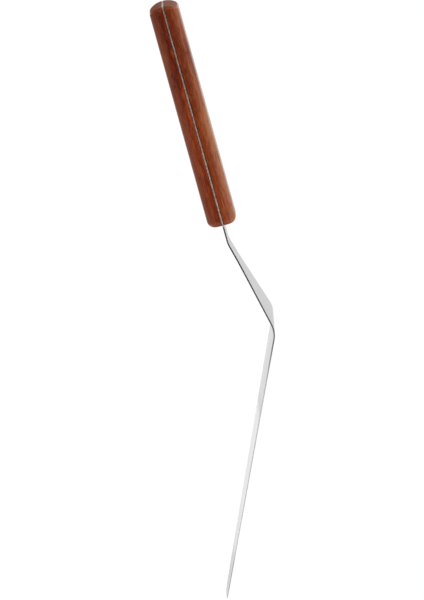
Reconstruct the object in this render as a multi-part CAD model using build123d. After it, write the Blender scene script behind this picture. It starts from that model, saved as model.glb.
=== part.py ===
from build123d import *
import os
from math import cos, radians, sin

# Cranked serving spatula with a riveted two-piece wood handle. Millimetres. The blade lies flat
# with its underside on Z = 0 and tapers along +X to its front edge; the handle rises on the -X
# side. The origin is the middle of the blade's underside.

# Steel sheet: blade, crank, neck and tang are one blank
SHEET = 0.8
BLADE_LENGTH = 157.4  # knee to front edge
SHOULDER_WIDTH = 69.0
FRONT_WIDTH = 32.5
FRONT_CORNER_R = 7.0
FRONT_THICKNESS = 0.35  # the blade's upper face is ground thinner towards the front edge
GRIND_START = 15.0  # from the knee
CRANK_ANGLE = 39.6  # above the blade's plane
CRANK_LENGTH = 51.9  # knee to upper bend
KNEE_RADIUS = 13.0  # on the sheet's middle surface
BEND_RADIUS = 14.0
NECK_LENGTH = 10.2  # upper bend to the front of the handle
SHOULDER_RUN = 32.5  # in plan, from the knee back to where the neck's sides are parallel
SHOULDER_SETBACK = 1.5  # the shoulders' corners, in plan, behind the knee
SHOULDER_R = 7.0
NECK_BLEND_R = 22.0

# Handle
HANDLE_ANGLE = 25.0
HANDLE_LENGTH = 127.0
HANDLE_WIDTH = 25.4
SCALE_THICKNESS = 7.8
LONG_EDGE_R = 6.0
FRONT_EDGE_R = 3.9
BUTT_CROWN_R = 14.0  # the butt is rounded about the tang in side view
BUTT_EDGE_R = 2.0
TANG_LINE_BREAK = 0.25  # chamfer along the tang line

# Two-part compression rivets
RIVET_STATIONS = (19.0, 63.5, 108.0)  # from the front of the handle
RIVET_HEAD_R = 4.0
RIVET_HEAD_DEPTH = 2.0
BARREL_R = 2.4
PIN_R = 1.5
PIN_END_GAP = 0.6
TANG_HOLE_CLEARANCE = 0.1

# Side view stations of the sheet's middle surface, as (x, z)
TIP = Vector(BLADE_LENGTH / 2, SHEET / 2)
KNEE = Vector(-BLADE_LENGTH / 2, SHEET / 2)
CRANK_DIR = Vector(-cos(radians(CRANK_ANGLE)), sin(radians(CRANK_ANGLE)))
HANDLE_DIR = Vector(-cos(radians(HANDLE_ANGLE)), sin(radians(HANDLE_ANGLE)))
BEND = KNEE + CRANK_DIR * CRANK_LENGTH
HANDLE_FRONT = BEND + HANDLE_DIR * NECK_LENGTH
BUTT = HANDLE_FRONT + HANDLE_DIR * HANDLE_LENGTH

# The handle's own frame: x from its front to its butt, z out of its upper face. Its origin is in
# the middle of the tang, at the handle's front.
HANDLE = Plane(
    origin=(HANDLE_FRONT.X, 0, HANDLE_FRONT.Y),
    x_dir=(HANDLE_DIR.X, 0, HANDLE_DIR.Y),
    z_dir=(HANDLE_DIR.Y, 0, -HANDLE_DIR.X),
)
SCALE_BOTTOM = SHEET / 2
SCALE_TOP = SCALE_BOTTOM + SCALE_THICKNESS
HEAD_SEAT = SCALE_TOP - RIVET_HEAD_DEPTH
BIG = 200.0  # longer than any part of the handle, for cutters
TANG_CUTTER = 4 * SHEET  # deep enough to pass through the tang
TINY = 0.01  # tolerance for picking out edges


def upper_normal(direction):
    """Normal of a stretch of sheet that runs back along direction, on its upper side."""
    return Vector(direction.Y, -direction.X)


def offset_corner(point, before, after, distance):
    """Where two stretches' surfaces meet, distance above the middle surface."""
    n1 = upper_normal(before)
    n2 = upper_normal(after)
    return point + (n1 + n2) * (distance / (1 + n1.dot(n2)))


def sheet_profile():
    """Side view of the bent sheet, tip to butt."""
    back = Vector(-1, 0)
    half = SHEET / 2
    knee_low = offset_corner(KNEE, back, CRANK_DIR, -half)
    knee_up = offset_corner(KNEE, back, CRANK_DIR, half)
    bend_low = offset_corner(BEND, CRANK_DIR, HANDLE_DIR, -half)
    bend_up = offset_corner(BEND, CRANK_DIR, HANDLE_DIR, half)
    handle_normal = upper_normal(HANDLE_DIR)
    points = [
        (TIP.X, 0),
        (knee_low.X, knee_low.Y),
        (bend_low.X, bend_low.Y),
        tuple(BUTT - handle_normal * half)[:2],
        tuple(BUTT + handle_normal * half)[:2],
        (bend_up.X, bend_up.Y),
        (knee_up.X, knee_up.Y),
        (KNEE.X + GRIND_START, SHEET),
        (TIP.X, FRONT_THICKNESS),
    ]
    profile = make_face(Polyline(*points, close=True))
    radii = (
        (knee_low, KNEE_RADIUS + half),
        (knee_up, KNEE_RADIUS - half),
        (bend_low, BEND_RADIUS - half),
        (bend_up, BEND_RADIUS + half),
    )
    for corner, radius in radii:
        target = Vector(corner.X, corner.Y, 0)
        nearest = profile.vertices().sort_by_distance(target)[0]
        profile = fillet(nearest, radius)
    return profile


def blade_outline():
    """Plan of the blade, crank and neck."""
    half_front = FRONT_WIDTH / 2
    half_shoulder = SHOULDER_WIDTH / 2
    half_neck = HANDLE_WIDTH / 2
    shoulder_x = KNEE.X - SHOULDER_SETBACK
    neck_x = KNEE.X - SHOULDER_RUN
    neck_end = HANDLE_FRONT.X - SHEET
    side = [
        (TIP.X, half_front),
        (shoulder_x, half_shoulder),
        (neck_x, half_neck),
        (neck_end, half_neck),
    ]
    other_side = [(x, -y) for x, y in reversed(side)]
    outline = make_face(Polyline(*side, *other_side, close=True))
    for x, y, radius in (
        (TIP.X, half_front, FRONT_CORNER_R),
        (shoulder_x, half_shoulder, SHOULDER_R),
        (neck_x, half_neck, NECK_BLEND_R),
    ):
        for sign in (1, -1):
            target = Vector(x, sign * y, 0)
            nearest = outline.vertices().sort_by_distance(target)[0]
            outline = fillet(nearest, radius)
    return outline


def make_blade():
    """The bent sheet, trimmed to its plan, with the rivet holes in its tang."""
    sheet = extrude(Plane.XZ.location * sheet_profile(), SHOULDER_WIDTH, both=True)
    plan = extrude(blade_outline(), BIG)
    butt_corners = Pos(HANDLE_LENGTH / 2, 0) * Rectangle(HANDLE_LENGTH, HANDLE_WIDTH)
    butt_corners = fillet(butt_corners.vertices().group_by(Axis.X)[-1], BUTT_EDGE_R)
    tang = HANDLE.location * extrude(butt_corners, TANG_CUTTER, both=True)
    neck_joint = HANDLE.location * Box(TANG_CUTTER, HANDLE_WIDTH, TANG_CUTTER)
    blade = sheet & (plan + tang + neck_joint)
    for station in RIVET_STATIONS:
        hole = Cylinder(BARREL_R + TANG_HOLE_CLEARANCE, TANG_CUTTER)
        blade -= HANDLE.location * Pos(station, 0, 0) * hole
    return blade


def crowned_butt(crown_x):
    """Everything in front of the rounded butt end, whose arc is centred at crown_x."""
    round_end = Pos(crown_x, 0, 0) * Rot(90, 0, 0) * Cylinder(BUTT_CROWN_R, BIG)
    rest = Box(BIG, BIG, BIG, align=(Align.MAX, Align.CENTER, Align.CENTER))
    return round_end + Pos(crown_x, 0, 0) * rest


def scale_blank():
    """Upper handle half in the handle's frame, before its rivet holes are drilled."""
    on_tang = (Align.MIN, Align.CENTER, Align.MIN)
    blank = Box(HANDLE_LENGTH, HANDLE_WIDTH, SCALE_THICKNESS, align=on_tang)
    blank = Pos(0, 0, SCALE_BOTTOM) * blank
    long_edges = blank.edges().filter_by(Axis.X).group_by(Axis.Z)[-1]
    blank = fillet(long_edges, LONG_EDGE_R)
    crown_x = HANDLE_LENGTH - BUTT_CROWN_R
    blank &= crowned_butt(crown_x)
    for low, high, radius in (
        (-TINY, TINY, FRONT_EDGE_R),
        (crown_x, HANDLE_LENGTH, BUTT_EDGE_R),
    ):
        end_edges = [
            e
            for e in blank.edges()
            if low < e.center().X < high and e.center().Z > SCALE_BOTTOM + TINY
        ]
        blank = fillet(end_edges, radius)
    tang_line = [
        e
        for e in blank.edges()
        if abs(e.center().Z - SCALE_BOTTOM) < TINY and e.length > HANDLE_LENGTH / 2
    ]
    return chamfer(tang_line, TANG_LINE_BREAK)


def rod(station, radius, low, high):
    """Round bar on a rivet's axis."""
    bar = Cylinder(radius, high - low, align=(Align.CENTER, Align.CENTER, Align.MIN))
    return Pos(station, 0, low) * bar


def drilled(blank):
    """The blank with a stepped hole for each rivet."""
    for station in RIVET_STATIONS:
        blank -= rod(station, BARREL_R, 0, SCALE_TOP)
        blank -= rod(station, RIVET_HEAD_R, HEAD_SEAT, BIG)
    return blank


def rivet_pair(station):
    """(solid half seen from above, hollow half seen from below), pressed together."""
    head = rod(station, RIVET_HEAD_R, HEAD_SEAT, SCALE_TOP)
    male = head + rod(station, PIN_R, PIN_END_GAP - HEAD_SEAT, HEAD_SEAT)
    barrel = rod(station, BARREL_R, -HEAD_SEAT, HEAD_SEAT)
    barrel -= rod(station, PIN_R, -HEAD_SEAT, HEAD_SEAT)
    female = mirror(head, Plane.XY) + barrel
    return male, female


def main():
    upper = drilled(scale_blank())
    nodes = {
        "blade": make_blade(),
        "upper_scale": HANDLE.location * upper,
        "lower_scale": HANDLE.location * mirror(upper, Plane.XY),
    }
    for number, station in enumerate(RIVET_STATIONS, start=1):
        male, female = rivet_pair(station)
        nodes[f"rivet_male_{number}"] = HANDLE.location * male
        nodes[f"rivet_female_{number}"] = HANDLE.location * female
    os.makedirs("parts", exist_ok=True)
    for name, shape in nodes.items():
        export_step(shape, f"parts/{name}.step")


main()
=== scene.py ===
from math import cos, radians, sin

import bpy
from mathutils import Matrix, Vector


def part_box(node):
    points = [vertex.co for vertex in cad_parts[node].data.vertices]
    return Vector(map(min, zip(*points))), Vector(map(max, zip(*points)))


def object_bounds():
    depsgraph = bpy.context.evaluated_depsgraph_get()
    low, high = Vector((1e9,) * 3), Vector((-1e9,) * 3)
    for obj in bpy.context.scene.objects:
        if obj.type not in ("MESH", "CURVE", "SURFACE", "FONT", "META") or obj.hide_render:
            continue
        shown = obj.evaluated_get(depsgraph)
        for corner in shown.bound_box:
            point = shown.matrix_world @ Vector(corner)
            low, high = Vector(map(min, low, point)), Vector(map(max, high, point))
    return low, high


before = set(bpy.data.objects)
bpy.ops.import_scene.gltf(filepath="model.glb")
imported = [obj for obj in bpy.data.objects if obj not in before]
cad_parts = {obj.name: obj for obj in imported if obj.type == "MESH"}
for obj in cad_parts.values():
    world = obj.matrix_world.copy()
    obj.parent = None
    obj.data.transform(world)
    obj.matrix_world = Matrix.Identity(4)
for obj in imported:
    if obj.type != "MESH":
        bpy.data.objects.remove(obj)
CAD_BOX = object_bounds()
MM = 0.001

# The looks of a cranked serving spatula's steel, wood and rivets, and a studio to see it in.
# Places are in metres in the model's frame: the blade lies flat along X, with the handle on its
# -X side, and +Z is up.

# Camera: a long lens almost level with the blade, beside it and a little towards the handle,
# rolled so that the handle is at the top of the picture.
CAMERA_AZIMUTH = radians(10.43)  # from square-on to the blade's long edge, towards the handle
CAMERA_ELEVATION = radians(2.25)
CAMERA_ROLL = radians(9.9)
CAMERA_DISTANCE = 6.0
CAMERA_REACH = 100.0  # past the floor's far edge
CAMERA_AIM = Vector((-0.76, -2.4, -12.4)) * MM  # from the middle of the CAD box
SENSOR = 36.0
LENS = 649.9

# Room. Its walls are brightest at the horizon, and it has one dark side, which is the camera's
# side and turned towards the handle. A direction's height is the sine of its elevation.
HORIZON_LIGHT = 1.3
ZENITH_LIGHT = 0.42
ZENITH_HEIGHT = 0.75  # from here up, the walls have the zenith's light
DARK_SIDE = Vector((-sin(radians(25)), cos(radians(25)), 0.08)).normalized()
DARK_SIDE_LIGHT = 0.05  # of the light elsewhere
DARK_SIDE_EDGE = (0.42, 0.78)  # cosines from its middle, at its rim and where it is fully dark
DARK_SIDE_TOP = (0.3, 0.65)  # heights where it begins to fade and where it ends

# Floor
FLOOR_SIZE = 60.0
FLOOR_DROP = 0.05 * MM  # its gap under the blade, so that the two faces don't coincide
FLOOR_LIGHT = 0.94
FLOOR_COLOUR = (0.15, 0.15, 0.15)
FLOOR_ROUGHNESS = 0.9
REFLECTED_FLOOR = 0.9  # its brightness in reflections
REFLECTED_DARKENING = (0.0, 0.3)  # metres towards the dark side, where its reflections darken

# Soft light under the handle, from the floor up
BOUNCE_PLACE = (-0.2, 0.04, 0.002)
BOUNCE_SIZE = 0.25
BOUNCE_POWER = 0.22


def middle(node):
    """The middle of a node's box."""
    low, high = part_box(node)
    return (low + high) / 2


# The handle's own frame: x from its front to its butt, z out of its upper face
HANDLE_X = (middle("rivet_male_3") - middle("rivet_male_1")).normalized()
HANDLE_Y = Vector((0, -1, 0))
HANDLE_Z = HANDLE_X.cross(HANDLE_Y)
HANDLE_TURN = Matrix((HANDLE_X, HANDLE_Y, HANDLE_Z)).transposed().to_euler()
HANDLE_MIDDLE = (middle("upper_scale") + middle("lower_scale")) / 2
HANDLE_LENGTH = 127.0  # millimetres

# Zones of the looks, in millimetres. Each pair is where a zone starts and where it is full.
HANDLE_FRONT = -HANDLE_LENGTH / 2  # from the handle's middle
BLADE_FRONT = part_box("blade")[1].x / MM
KNEE = -BLADE_FRONT
RUN_OUT = (KNEE + 42, KNEE + 46)  # the belt's mark at the back of the ground zone
# The belt-ground zone has a smoother finish, and its faces are painted a little lighter: a painted
# brighter reflection
GROUND_AND_PAINTED_REFLECTION = (KNEE + 47, KNEE + 53)
WORN_BLADE = (BLADE_FRONT - 65, BLADE_FRONT - 30)
# Towards the tip the steel is rougher, and its faces and cut edges are painted darker: a painted
# darker reflection
PAINTED_DARK_FRONT = (BLADE_FRONT - 30, BLADE_FRONT - 20)
POLISHED_EDGE = (KNEE + 4, KNEE + 38)
TANG = (HANDLE_FRONT - 0.5, HANDLE_FRONT + 0.5)  # along the handle
BUTT = (0.0, 10.0)  # along the handle, from its middle
WORN_BUTT = (1.5, 4.5)  # above the tang's middle
# Outer faces of the scales: a painted sheen, a paler colour where light catches their rounded edges
PAINTED_SHEEN_FACE = (3.5, 7.0)  # either side of the tang's middle
# Painted shadow in the seam beside the tang
SEAM_SHADOW = (1.05, 0.65)  # either side of the tang's middle

# Zones that go by which way the surface faces, as pairs of cosines
SHEET_EDGE = (0.68, 0.5)  # with straight up or down. The crank's two faces have 0.77.
SHEET_TOP = (0.0, 0.2)  # with straight up
END_GRAIN = (0.5, 0.95)  # with the handle's length
RIM_OUTSIDE = (0.1, 0.4)  # with the handle's length
RIM_INSIDE = (0.45, 0.8)  # with the handle's length

# Colours. A set of tones lists places on a ramp and the colour at each.
WHITE = (1, 1, 1)
BLACK = (0, 0, 0)
WOOD_TONES = (
    (0.10, (0.075, 0.0090, 0.0030)),
    (0.40, (0.165, 0.0220, 0.0048)),
    (0.62, (0.235, 0.0390, 0.0070)),
    (0.90, (0.360, 0.0850, 0.0170)),
)
FLECK_COLOUR = (0.34, 0.110, 0.020)
PORE_COLOUR = (0.030, 0.007, 0.004)
# Colour of the painted shadow in the seam beside the tang
SEAM_SHADOW_COLOUR = (0.020, 0.009, 0.006)
FRONT_END_COLOUR = (0.120, 0.022, 0.008)
BUTT_END_COLOUR = (0.300, 0.075, 0.030)
# Paler rims of the ends: rubbed wear and a painted highlight
RIM_WEAR_AND_HIGHLIGHT_COLOUR = (0.420, 0.115, 0.035)
WORN_BUTT_COLOUR = (0.430, 0.110, 0.028)
SCRATCH_COLOUR = (0.80, 0.80, 0.80)
SHEARED_TONES = ((0.35, (0.20, 0.20, 0.21)), (0.7, (0.30, 0.30, 0.31)))
SANDED_TONES = ((0.38, (0.66, 0.48, 0.41)), (0.62, (1.00, 0.84, 0.76)))
POLISHED_EDGE_COLOUR = (0.72, 0.72, 0.72)
PAINTED_DARK_EDGE_COLOUR = (0.42, 0.42, 0.42)
BRASS_TONES = ((0.3, (0.62, 0.43, 0.17)), (0.7, (0.80, 0.60, 0.28)))
TARNISH_COLOUR = (0.40, 0.24, 0.10)


class Nodes:
    """A node tree, with one short method for each kind of node that the looks use."""

    def __init__(self, tree):
        self.tree = tree

    def feed(self, socket, source):
        """Link another node's output to a socket, or give the socket a value or a colour."""
        if isinstance(source, bpy.types.NodeSocket):
            self.tree.links.new(source, socket)
        elif socket.type == "RGBA":
            socket.default_value = (*source, 1)
        else:
            socket.default_value = source

    def node(self, kind, *sources, **settings):
        made = self.tree.nodes.new("ShaderNode" + kind)
        for key, value in settings.items():
            setattr(made, key, value)
        for socket, source in zip(made.inputs, sources):
            self.feed(socket, source)
        return made

    def math(self, operation, *values):
        return self.node("Math", *values, operation=operation).outputs[0]

    def times(self, value, *factors):
        for factor in factors:
            value = self.math("MULTIPLY", value, factor)
        return value

    def total(self, base, *shares):
        """The base plus each share, which is a value and what to multiply it by."""
        for value, amount in shares:
            base = self.math("MULTIPLY_ADD", value, amount, base)
        return base

    def vary(self, base, noise, amount):
        """The base, pushed up and down by a noise that swings about 0.5."""
        return self.total(base, (self.math("SUBTRACT", noise, 0.5), amount))

    def step(self, value, low, high, to_low=0.0, to_high=1.0):
        """A smooth step from to_low, at low, to to_high, at high."""
        made = self.node(
            "MapRange", value, low, high, to_low, to_high, interpolation_type="SMOOTHSTEP"
        )
        return made.outputs[0]

    def between(self, share, low, high):
        """Smoothly from low, at a share of 0, to high, at a share of 1."""
        return self.step(share, 0.0, 1.0, low, high)

    def add(self, a, b):
        return self.node("VectorMath", a, b, operation="ADD").outputs["Vector"]

    def dot(self, a, b):
        return self.node("VectorMath", a, b, operation="DOT_PRODUCT").outputs["Value"]

    def split(self, vector):
        return self.node("SeparateXYZ", vector).outputs

    def stretched(self, place, scales, shift=(0, 0, 0)):
        return self.node("Mapping", place, shift, (0, 0, 0), scales).outputs[0]

    def noise(self, place, scales, detail=2.0, roughness=0.5, shift=(0, 0, 0)):
        """Noise with the given number of features per unit of length along each axis."""
        made = self.node("TexNoise", self.stretched(place, scales, shift))
        made.inputs["Scale"].default_value = 1.0
        made.inputs["Detail"].default_value = detail
        made.inputs["Roughness"].default_value = roughness
        return made.outputs[0]

    def ramp(self, value, tones):
        made = self.node("ValToRGB", value)
        elements = made.color_ramp.elements
        while len(elements) < len(tones):
            elements.new(0.5)
        for element, (position, colour) in zip(elements, tones):
            element.position = position
            element.color = (*colour, 1)
        return made.outputs[0]

    def mix(self, share, a, b, blend="MIX"):
        """Two colours mixed, b's share being the one given."""
        made = self.node("Mix", data_type="RGBA", blend_type=blend)
        for socket, source in ((0, share), (6, a), (7, b)):
            self.feed(made.inputs[socket], source)
        return made.outputs[2]

    def mix_values(self, share, a, b):
        """Two values mixed, b's share being the one given."""
        made = self.node("Mix")
        for socket, source in ((0, share), (2, a), (3, b)):
            self.feed(made.inputs[socket], source)
        return made.outputs[0]


def new_look(name):
    """A new material, its nodes and its surface."""
    material = bpy.data.materials.new(name)
    material.use_nodes = True
    tree = material.node_tree
    return material, Nodes(tree), tree.nodes["Principled BSDF"]


# Camera and studio


def camera_axes():
    """Unit vectors back from the picture to the camera, down the picture and to its left."""
    az, el = CAMERA_AZIMUTH, CAMERA_ELEVATION
    back = Vector((-sin(az) * cos(el), cos(az) * cos(el), sin(el)))
    down = Vector((1, 0, 0)) - back * back.x
    down.normalize()
    left = down.cross(back)
    c, s = cos(CAMERA_ROLL), sin(CAMERA_ROLL)
    return back, c * down - s * left, s * down + c * left


def place_camera():
    back, down, left = camera_axes()
    low, high = CAD_BOX
    aim = (low + high) / 2 + CAMERA_AIM
    camera = bpy.data.objects.new("camera", bpy.data.cameras.new("camera"))
    camera.data.sensor_width = SENSOR
    camera.data.lens = LENS
    camera.data.clip_end = CAMERA_REACH
    turn = Matrix((-left, -down, back)).transposed()
    camera.matrix_world = Matrix.Translation(aim + back * CAMERA_DISTANCE) @ turn.to_4x4()
    bpy.context.scene.collection.objects.link(camera)
    bpy.context.scene.camera = camera


def light_room():
    """The room's light by direction. To the camera itself it is at least white."""
    world = bpy.data.worlds.new("studio")
    bpy.context.scene.world = world
    world.use_nodes = True
    n = Nodes(world.node_tree)
    direction = n.node("TexCoord").outputs["Generated"]
    height = n.split(direction)[2]
    walls = n.step(height, 0.0, ZENITH_HEIGHT, HORIZON_LIGHT, ZENITH_LIGHT)
    facing_dark = n.step(n.dot(direction, DARK_SIDE), *DARK_SIDE_EDGE)
    dark = n.times(facing_dark, n.step(height, *DARK_SIDE_TOP, 1.0, 0.0))
    room = n.times(walls, n.between(dark, 1.0, DARK_SIDE_LIGHT))
    seen = n.node("LightPath").outputs["Is Camera Ray"]
    background = world.node_tree.nodes["Background"]
    n.feed(background.inputs["Color"], WHITE)
    n.feed(background.inputs["Strength"], n.math("MAXIMUM", room, seen))


def make_floor():
    """A pale floor with its own light, clear from below and darker in reflections."""
    bpy.ops.mesh.primitive_plane_add(size=FLOOR_SIZE, location=(0, 0, -FLOOR_DROP))
    floor = bpy.context.object
    floor.name = "floor"
    material, n, surface = new_look("pale_floor")
    reflected = n.node("LightPath").outputs["Is Glossy Ray"]
    place = n.node("TexCoord").outputs["Object"]
    dark = n.times(n.step(n.dot(place, DARK_SIDE), *REFLECTED_DARKENING), reflected)
    bright = n.times(
        n.between(dark, 1.0, DARK_SIDE_LIGHT), n.between(reflected, 1.0, REFLECTED_FLOOR)
    )
    n.feed(surface.inputs["Base Color"], n.mix(bright, BLACK, FLOOR_COLOUR))
    n.feed(surface.inputs["Roughness"], FLOOR_ROUGHNESS)
    n.feed(surface.inputs["Specular IOR Level"], 0.0)
    n.feed(surface.inputs["Emission Color"], WHITE)
    n.feed(surface.inputs["Emission Strength"], n.times(bright, FLOOR_LIGHT))
    from_below = n.node("NewGeometry").outputs["Backfacing"]
    clear = n.node("BsdfTransparent").outputs[0]
    either = n.node("MixShader", from_below, surface.outputs[0], clear)
    n.feed(n.tree.nodes["Material Output"].inputs["Surface"], either.outputs[0])
    material.cycles.emission_sampling = "NONE"
    floor.data.materials.append(material)


def add_bounce():
    """A soft light that faces up, fills in the wood's colour and isn't seen in reflections."""
    light = bpy.data.lights.new("bounce", "AREA")
    light.shape = "SQUARE"
    light.size = BOUNCE_SIZE
    light.energy = BOUNCE_POWER
    lamp = bpy.data.objects.new("bounce", light)
    lamp.location = BOUNCE_PLACE
    lamp.rotation_euler = Vector((0, 0, 1)).to_track_quat("-Z", "Y").to_euler()
    lamp.visible_glossy = False
    bpy.context.scene.collection.objects.link(lamp)


# Materials


def in_millimetres(n):
    """The place in the object's frame, in millimetres."""
    place = n.node("TexCoord").outputs["Object"]
    return n.stretched(place, (1000, 1000, 1000))


def in_handle(n):
    """The place in the handle's frame, in millimetres from the middle of the handle."""
    place = n.node("TexCoord").outputs["Object"]
    scales = (MM, MM, MM)
    made = n.node("Mapping", place, HANDLE_MIDDLE, HANDLE_TURN, scales, vector_type="TEXTURE")
    return made.outputs[0]


def bump(n, surface, height, distance, strength):
    made = n.node("Bump")
    n.feed(made.inputs["Strength"], strength)
    n.feed(made.inputs["Distance"], distance)
    n.feed(made.inputs["Height"], height)
    n.feed(surface.inputs["Normal"], made.outputs[0])


def wood(name, seed, tint, painted_sheen_colour, gap):
    """Red-brown close-grained hardwood with a satin oil finish, its grain along the handle.

    The seed is a place in the endless grain; the colour after the tint is the paler colour of its
    outer faces, a painted sheen; and gap is how dark the seam beside the tang is, a painted shadow.
    """
    material, n, surface = new_look(name)
    local = in_handle(n)
    along, _, above_tang = n.split(local)
    from_tang = n.math("ABSOLUTE", above_tang)

    # The grain wanders from side to side. Scales go along, across and out of the handle.
    place = n.add(local, seed)
    drift = n.vary(0.0, n.noise(place, (0.018, 0.05, 0.05)), 9.0)
    grain = n.add(place, n.node("CombineXYZ", 0.0, drift, drift).outputs[0])
    clouds = n.noise(place, (0.018, 0.06, 0.06))
    bands = n.noise(grain, (0.006, 0.35, 0.5), detail=3.0, roughness=0.6)
    fibres = n.noise(grain, (0.11, 1.9, 1.9), detail=3.0, roughness=0.65)
    flecks = n.noise(grain, (0.17, 2.0, 2.0), shift=(40, 7, 3))
    pores = n.noise(grain, (0.22, 2.6, 2.6), detail=1.0, shift=(11, 50, 5))
    fleck = n.step(flecks, 0.54, 0.68)
    pore = n.step(pores, 0.60, 0.68)

    # Colour along the grain
    tone = n.vary(0.5, bands, 0.9)
    tone = n.vary(tone, fibres, 1.0)
    tone = n.vary(tone, clouds, 1.3)
    # Painted sheen: away from the tang the faces are paler, standing in for light on the rounded
    # edges
    painted_sheen = n.times(n.step(from_tang, *PAINTED_SHEEN_FACE), n.step(tone, 0.25, 0.75, 0.15, 1.0))
    colour = n.mix(painted_sheen, n.ramp(tone, WOOD_TONES), painted_sheen_colour)
    colour = n.mix(n.times(fleck, 0.45), colour, FLECK_COLOUR)
    colour = n.mix(n.times(pore, 0.65), colour, PORE_COLOUR)
    # Painted shadow in the seam beside the tang, as dark as gap sets, heavier on the lower scale
    colour = n.mix(n.times(n.step(from_tang, *SEAM_SHADOW), gap), colour, SEAM_SHADOW_COLOUR)
    colour = n.mix(1.0, colour, tint, "MULTIPLY")

    # Colour of the two ends and their rims
    normal = n.node("NewGeometry").outputs["Normal"]
    facing_end = n.math("ABSOLUTE", n.dot(normal, HANDLE_X))
    end_grain = n.step(facing_end, *END_GRAIN)
    at_butt = n.step(along, *BUTT)
    end_colour = n.mix(at_butt, FRONT_END_COLOUR, BUTT_END_COLOUR)
    colour = n.mix(n.times(end_grain, 0.45), colour, end_colour)
    inside_rim = n.step(facing_end, *RIM_INSIDE)
    rim = n.math("SUBTRACT", n.step(facing_end, *RIM_OUTSIDE), inside_rim)
    # The rims of the ends, most at the butt, are paler: rubbed wear and a painted highlight on the
    # rounded edge
    rim_wear_and_highlight = n.times(rim, n.step(clouds, 0.3, 0.6, 0.5, 1.0), n.between(at_butt, 0.08, 0.5))
    colour = n.mix(rim_wear_and_highlight, colour, RIM_WEAR_AND_HIGHLIGHT_COLOUR)
    worn_end = n.times(end_grain, at_butt, n.step(above_tang, *WORN_BUTT))
    warmer = n.times(worn_end, n.step(tone, 0.3, 0.7, 0.2, 0.7))
    colour = n.mix(warmer, colour, WORN_BUTT_COLOUR)

    rough = n.total(0.16, (fibres, 0.14), (pore, 0.2), (end_grain, 0.42), (worn_end, 0.35))
    n.feed(surface.inputs["Base Color"], colour)
    n.feed(surface.inputs["Roughness"], rough)
    n.feed(surface.inputs["Specular IOR Level"], 0.25)
    relief = n.math("SUBTRACT", n.times(fibres, 0.5), pore)
    bump(n, surface, relief, 0.03 * MM, 0.6)
    return material


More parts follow.
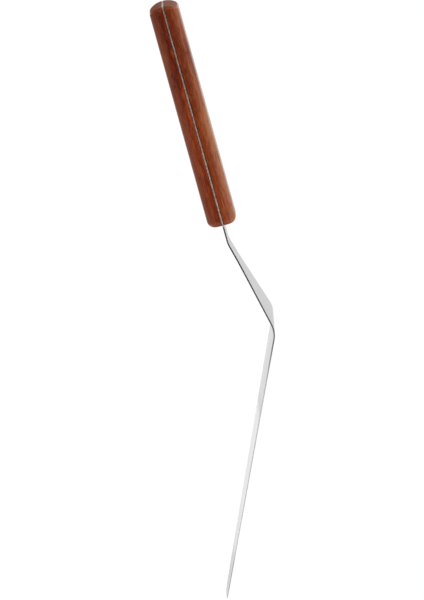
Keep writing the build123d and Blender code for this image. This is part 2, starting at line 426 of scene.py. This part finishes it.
def steel():
    """Brushed stainless sheet with sheared edges, sanded flush with the wood along the tang."""
    material, n, surface = new_look("brushed_steel")
    # Brushing runs the length of the sheet, and doesn't change with height, so it follows the bends
    place = in_millimetres(n)
    lines = n.noise(place, (0.02, 5.0, 0.0), detail=3.0, roughness=0.7)
    streaks = n.noise(place, (0.012, 0.7, 0.0), shift=(5, 2, 8))
    smudges = n.noise(place, (0.02, 0.05, 0.05))
    scratches = n.noise(place, (0.35, 4.0, 0.0), detail=1.0, shift=(3, 9, 1))
    scratch = n.step(scratches, 0.66, 0.72)

    # Where the zones are
    facing_up = n.split(n.node("NewGeometry").outputs["Normal"])[2]
    cut = n.step(n.math("ABSOLUTE", facing_up), *SHEET_EDGE)
    on_top = n.step(facing_up, *SHEET_TOP)
    in_tang = n.step(n.split(in_handle(n))[0], *TANG)
    ragged = n.noise(place, (0.2, 0.2, 0.2), detail=3.0)
    along = n.vary(n.split(place)[0], ragged, 3.0)
    ground_and_painted_reflection = n.step(along, *GROUND_AND_PAINTED_REFLECTION)
    run_out = n.math("SUBTRACT", n.step(along, *RUN_OUT), ground_and_painted_reflection)
    run_out = n.times(run_out, on_top)
    ground_and_painted_reflection = n.times(ground_and_painted_reflection, on_top)
    worn_blade = n.step(along, *WORN_BLADE)
    painted_dark_front = n.step(along, *PAINTED_DARK_FRONT)

    # Colour of the two faces
    tone = n.vary(lines, streaks, 0.9)
    shade = n.times(
        n.step(tone, 0.25, 0.75, 0.555, 0.62),
        # painted brighter reflection on the ground zone
        n.between(ground_and_painted_reflection, 1.0, 1.06),
        n.between(run_out, 1.0, 0.97),
        # painted darker reflection towards the tip
        n.between(painted_dark_front, 1.0, 0.97),
    )
    face = n.node("CombineColor", shade, shade, n.times(shade, 1.008)).outputs[0]
    face = n.mix(n.times(scratch, 0.3), face, SCRATCH_COLOUR)

    # Colour of the cut edges
    sheared = n.ramp(n.noise(place, (1.5, 1.5, 4.0)), SHEARED_TONES)
    # The cut edges towards the tip are painted darker too, a painted darker reflection
    polished = n.mix(painted_dark_front, POLISHED_EDGE_COLOUR, PAINTED_DARK_EDGE_COLOUR)
    sheared = n.mix(n.step(along, *POLISHED_EDGE), sheared, polished)
    sanding = n.noise(place, (0.9, 0.9, 0.9), detail=3.0, roughness=0.7)
    edge = n.mix(in_tang, sheared, n.ramp(sanding, SANDED_TONES))

    face_rough = n.total(
        0.2,
        (smudges, 0.1),
        (lines, 0.1),
        (ground_and_painted_reflection, -0.035),
        (run_out, 0.025),
        (worn_blade, 0.02),
        (painted_dark_front, 0.05),
    )
    edge_rough = n.between(in_tang, 0.34, 0.75)
    n.feed(surface.inputs["Base Color"], n.mix(cut, face, edge))
    n.feed(surface.inputs["Roughness"], n.mix_values(cut, face_rough, edge_rough))
    n.feed(surface.inputs["Metallic"], 1.0)
    bump(n, surface, tone, 0.004 * MM, 0.5)
    return material


def brass():
    """Brass rivet sanded flush with the wood."""
    material, n, surface = new_look("rivet_brass")
    place = in_handle(n)
    marks = n.noise(place, (0.25, 6.0, 6.0), detail=3.0, roughness=0.7)
    tarnish = n.noise(place, (0.3, 0.3, 0.3), detail=3.0)
    tarnished = n.step(tarnish, 0.5, 0.75, 0.0, 0.5)
    colour = n.mix(tarnished, n.ramp(marks, BRASS_TONES), TARNISH_COLOUR)
    n.feed(surface.inputs["Base Color"], colour)
    n.feed(surface.inputs["Roughness"], n.total(0.22, (marks, 0.2)))
    n.feed(surface.inputs["Metallic"], 1.0)
    bump(n, surface, marks, 0.006 * MM, 0.6)
    return material


bpy.context.scene.view_settings.view_transform = "Standard"
place_camera()
light_room()
make_floor()
add_bounce()
LOOKS = {
    "blade": steel(),
    "upper_scale": wood(
        "upper_wood", (877, 83, 70), (0.86, 0.70, 0.80), painted_sheen_colour=(0.384, 0.114, 0.041), gap=0.25
    ),
    "lower_scale": wood(
        "lower_wood", (27, -79, -44), (0.88, 0.86, 0.80), painted_sheen_colour=(0.256, 0.102, 0.046), gap=0.85
    ),
}
RIVET_LOOK = brass()
for name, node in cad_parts.items():
    node.data.materials.clear()
    node.data.materials.append(LOOKS.get(name, RIVET_LOOK))
